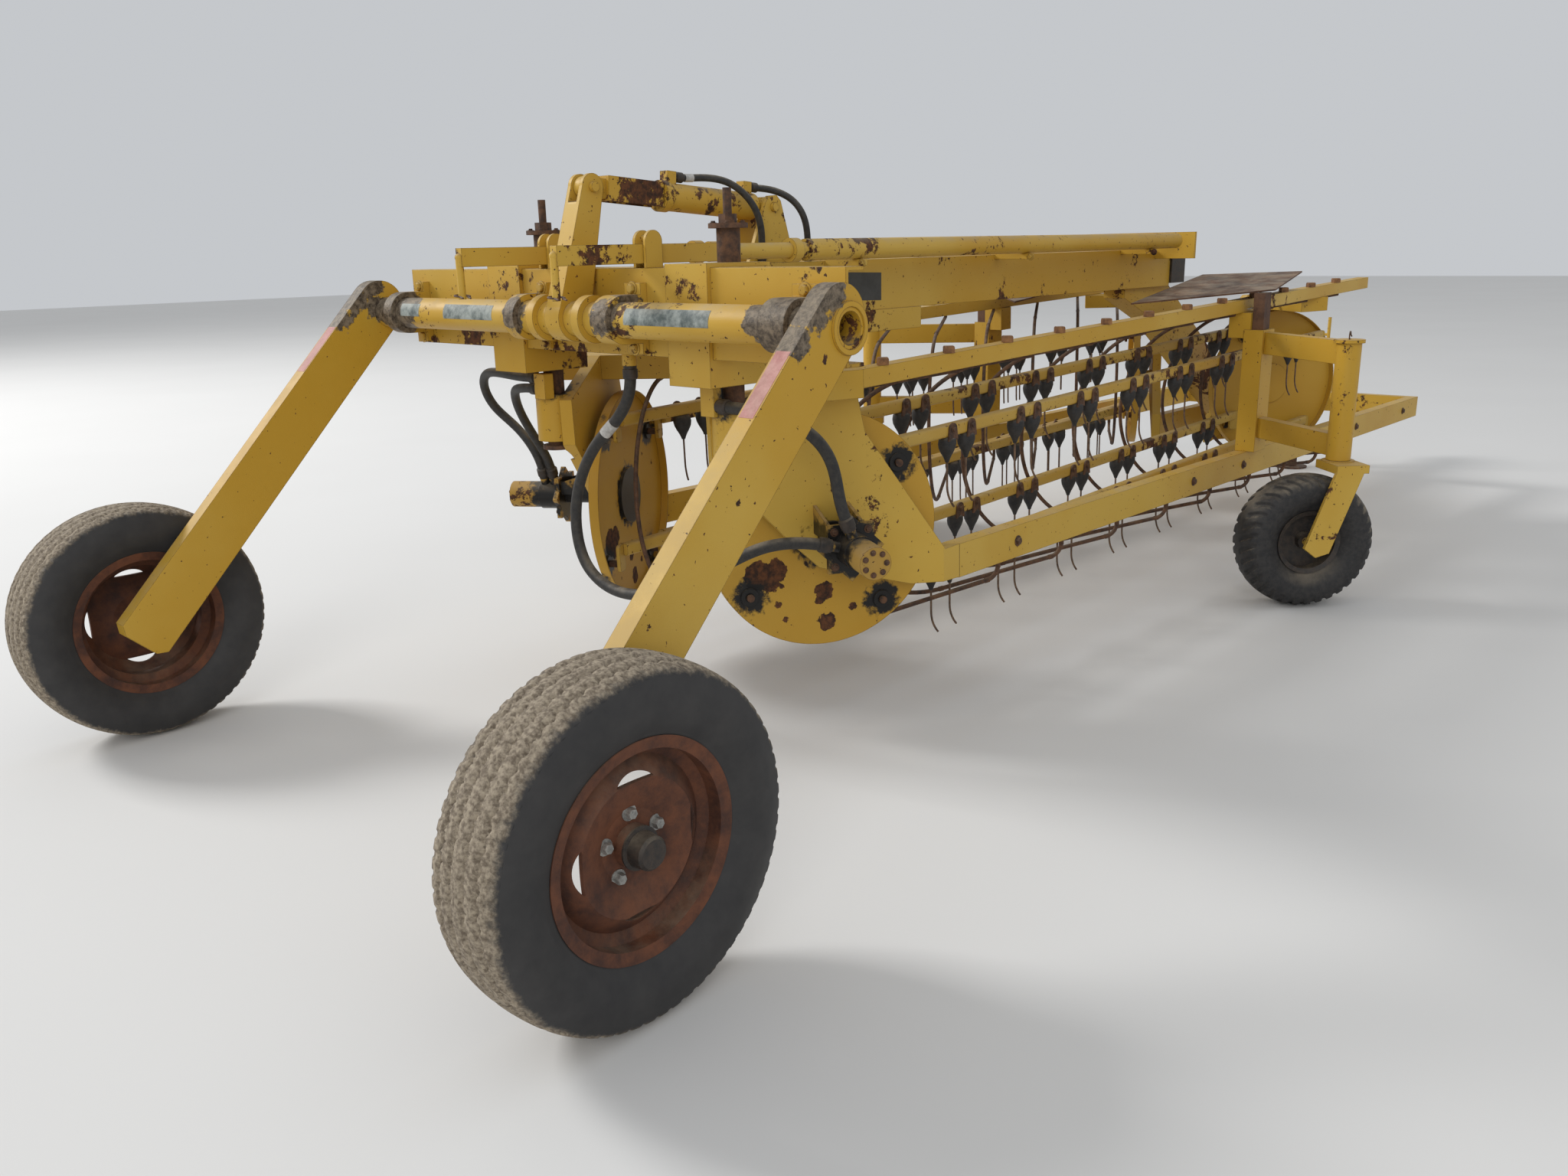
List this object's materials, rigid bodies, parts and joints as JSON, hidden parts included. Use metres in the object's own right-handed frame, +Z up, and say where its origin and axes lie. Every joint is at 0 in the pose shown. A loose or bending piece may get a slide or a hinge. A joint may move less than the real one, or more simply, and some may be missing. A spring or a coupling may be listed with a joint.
{
  "type": "twin basket hay rake",
  "caption": "Towed hay rake folded for transport: two parallel-bar tine reels under a tall frame on rear wheels, with a lift cylinder, tongue and jack.",
  "frame": {"origin": "centre of the overall box at ground level", "axes": "+X to the machine's right, +Y forward to the hitch, +Z up"},
  "size_m": [2.4866, 7.0498, 1.5588],
  "materials": {
    "frame_paint": "faded yellow paint with rust spots",
    "bar_paint": "faded yellow paint, rusty at the holders",
    "rusty_plate": "brown rust",
    "rusty_rim": "rust with remains of paint",
    "caster_rim": "rust and black paint",
    "worn_steel": "rusty and worn",
    "hydraulics": "oily paint",
    "tyre": "dusty black rubber",
    "hose": "dusty black hose"
  },
  "bodies": {
    "frame": {"main_beam": "frame_paint", "cross_beam": "frame_paint", "tongue": "frame_paint", "bearing_blocks": "frame_paint", "swing_posts": "worn_steel", "link_bars": "frame_paint", "valve_block": "hydraulics"},
    "jack": {"jack_leg": "worn_steel"},
    "axle": {"rock_shaft": "frame_paint", "legs": "frame_paint"},
    "wheel_right": {"tyre_right": "tyre", "rim_right": "rusty_rim"},
    "wheel_left": {"tyre_left": "tyre", "rim_left": "rusty_rim"},
    "cylinder": {"lift_barrel": "frame_paint", "hose_barrel_rear": "hose", "hose_barrel_front": "hose"},
    "rod": {"lift_rod": "frame_paint"},
    "basket_right": {"rear_arm_right": "frame_paint", "basket_tubes_right": "frame_paint", "front_head_right": "frame_paint", "caster_mount_right": "frame_paint", "strippers_right": "worn_steel", "motor_right": "hydraulics", "cover_right": "rusty_plate", "hose_loop_right": "hose", "hose_top_right": "hose"},
    "reel_rear_right": {"rear_disc_right": "frame_paint"},
    "reel_front_right": {"front_disc_right": "frame_paint"},
    "tine_bar_1_right": {"tine_bar_1_right": "bar_paint"},
    "tine_bar_2_right": {"tine_bar_2_right": "bar_paint"},
    "tine_bar_3_right": {"tine_bar_3_right": "bar_paint"},
    "tine_bar_4_right": {"tine_bar_4_right": "bar_paint"},
    "caster_right": {"caster_fork_right": "frame_paint"},
    "caster_wheel_right": {"caster_tyre_right": "tyre", "caster_rim_right": "caster_rim"},
    "basket_left": {"rear_arm_left": "frame_paint", "basket_tubes_left": "frame_paint", "front_head_left": "frame_paint", "caster_mount_left": "frame_paint", "strippers_left": "worn_steel", "motor_left": "hydraulics", "cover_left": "rusty_plate", "hose_outer_left": "hose", "hose_inner_left": "hose"},
    "reel_rear_left": {"rear_disc_left": "frame_paint"},
    "reel_front_left": {"front_disc_left": "frame_paint"},
    "tine_bar_1_left": {"tine_bar_1_left": "bar_paint"},
    "tine_bar_2_left": {"tine_bar_2_left": "bar_paint"},
    "tine_bar_3_left": {"tine_bar_3_left": "bar_paint"},
    "tine_bar_4_left": {"tine_bar_4_left": "bar_paint"},
    "caster_left": {"caster_fork_left": "frame_paint"},
    "caster_wheel_left": {"caster_tyre_left": "tyre", "caster_rim_left": "caster_rim"}
  },
  "joints": [
    {"name": "jack_slide", "type": "slide", "parent": "frame", "child": "jack", "axis": [0, 0, 1], "range_m": [0, 0.25]},
    {"name": "lift", "type": "hinge", "parent": "frame", "child": "axle", "pos_m": [0, -2.385, 1.18], "axis": [1, 0, 0], "range_deg": [0, 25]},
    {"name": "wheel_spin_right", "type": "hinge", "parent": "axle", "child": "wheel_right", "pos_m": [1.08, -3.185, 0.34], "axis": [1, 0, 0], "continuous": true},
    {"name": "wheel_spin_left", "type": "hinge", "parent": "axle", "child": "wheel_left", "pos_m": [-1.08, -3.185, 0.34], "axis": [1, 0, 0], "continuous": true},
    {"name": "cylinder_tilt", "type": "hinge", "parent": "frame", "child": "cylinder", "pos_m": [0, -1.648, 1.464], "axis": [1, 0, 0], "range_deg": [-1, 1]},
    {"name": "rod_slide", "type": "slide", "parent": "cylinder", "child": "rod", "axis": [0, -0.9976, 0.0698], "range_m": [0, 0.15]},
    {"name": "swing_right", "type": "hinge", "parent": "frame", "child": "basket_right", "pos_m": [0.38, -2.165, 0.87], "axis": [0, 0, -1], "range_deg": [0, 38]},
    {"name": "reel_right", "type": "hinge", "parent": "basket_right", "child": "reel_rear_right", "pos_m": [0.425, -1.865, 0.575], "axis": [0.866, -0.4998, -0.0148], "continuous": true},
    {"name": "reel_front_right", "type": "hinge", "parent": "basket_right", "child": "reel_front_right", "pos_m": [0.34706, 1.48852, 0.67453], "axis": [0.866, -0.4998, -0.0148], "continuous": true},
    {"name": "bar_1_right", "type": "hinge", "parent": "reel_rear_right", "child": "tine_bar_1_right", "pos_m": [0.49983, -1.65057, 0.75296], "axis": [0.866, -0.4998, -0.0148], "continuous": true},
    {"name": "bar_2_right", "type": "hinge", "parent": "reel_rear_right", "child": "tine_bar_2_right", "pos_m": [0.30027, -1.99774, 0.79877], "axis": [0.866, -0.4998, -0.0148], "continuous": true},
    {"name": "bar_3_right", "type": "hinge", "parent": "reel_rear_right", "child": "tine_bar_3_right", "pos_m": [0.27222, -2.03445, 0.39838], "axis": [0.866, -0.4998, -0.0148], "continuous": true},
    {"name": "bar_4_right", "type": "hinge", "parent": "reel_rear_right", "child": "tine_bar_4_right", "pos_m": [0.47179, -1.68728, 0.35256], "axis": [0.866, -0.4998, -0.0148], "continuous": true},
    {"name": "caster_swivel_right", "type": "hinge", "parent": "basket_right", "child": "caster_right", "pos_m": [1.1, 0.265, 0.6], "axis": [0, 0, 1], "continuous": true},
    {"name": "caster_spin_right", "type": "hinge", "parent": "caster_right", "child": "caster_wheel_right", "pos_m": [1.02359, 0.18587, 0.25], "axis": [0.7193, -0.6947, 0], "continuous": true},
    {"name": "swing_left", "type": "hinge", "parent": "frame", "child": "basket_left", "pos_m": [-0.38, -2.165, 0.87], "axis": [0, 0, 1], "range_deg": [0, 38]},
    {"name": "reel_left", "type": "hinge", "parent": "basket_left", "child": "reel_rear_left", "pos_m": [-0.425, -1.865, 0.575], "axis": [-0.866, -0.4998, -0.0148], "continuous": true},
    {"name": "reel_front_left", "type": "hinge", "parent": "basket_left", "child": "reel_front_left", "pos_m": [-0.34706, 1.48852, 0.67453], "axis": [-0.866, -0.4998, -0.0148], "continuous": true},
    {"name": "bar_1_left", "type": "hinge", "parent": "reel_rear_left", "child": "tine_bar_1_left", "pos_m": [-0.49983, -1.65057, 0.75296], "axis": [-0.866, -0.4998, -0.0148], "continuous": true},
    {"name": "bar_2_left", "type": "hinge", "parent": "reel_rear_left", "child": "tine_bar_2_left", "pos_m": [-0.30027, -1.99774, 0.79877], "axis": [-0.866, -0.4998, -0.0148], "continuous": true},
    {"name": "bar_3_left", "type": "hinge", "parent": "reel_rear_left", "child": "tine_bar_3_left", "pos_m": [-0.27222, -2.03445, 0.39838], "axis": [-0.866, -0.4998, -0.0148], "continuous": true},
    {"name": "bar_4_left", "type": "hinge", "parent": "reel_rear_left", "child": "tine_bar_4_left", "pos_m": [-0.47179, -1.68728, 0.35256], "axis": [-0.866, -0.4998, -0.0148], "continuous": true},
    {"name": "caster_swivel_left", "type": "hinge", "parent": "basket_left", "child": "caster_left", "pos_m": [-1.1, 0.265, 0.6], "axis": [0, 0, 1], "continuous": true},
    {"name": "caster_spin_left", "type": "hinge", "parent": "caster_left", "child": "caster_wheel_left", "pos_m": [-1.02359, 0.18587, 0.25], "axis": [0.7193, 0.6947, 0], "continuous": true}
  ],
  "couplings": [
    {"joint": "rod_slide", "follows": "lift", "m_per_rad": 0.33695},
    {"joint": "cylinder_tilt", "follows": "lift", "ratio": 0.00548},
    {"joint": "reel_front_right", "follows": "reel_right", "ratio": 1},
    {"joint": "bar_1_right", "follows": "reel_right", "ratio": -1},
    {"joint": "bar_2_right", "follows": "reel_right", "ratio": -1},
    {"joint": "bar_3_right", "follows": "reel_right", "ratio": -1},
    {"joint": "bar_4_right", "follows": "reel_right", "ratio": -1},
    {"joint": "reel_front_left", "follows": "reel_left", "ratio": 1},
    {"joint": "bar_1_left", "follows": "reel_left", "ratio": -1},
    {"joint": "bar_2_left", "follows": "reel_left", "ratio": -1},
    {"joint": "bar_3_left", "follows": "reel_left", "ratio": -1},
    {"joint": "bar_4_left", "follows": "reel_left", "ratio": -1}
  ]
}
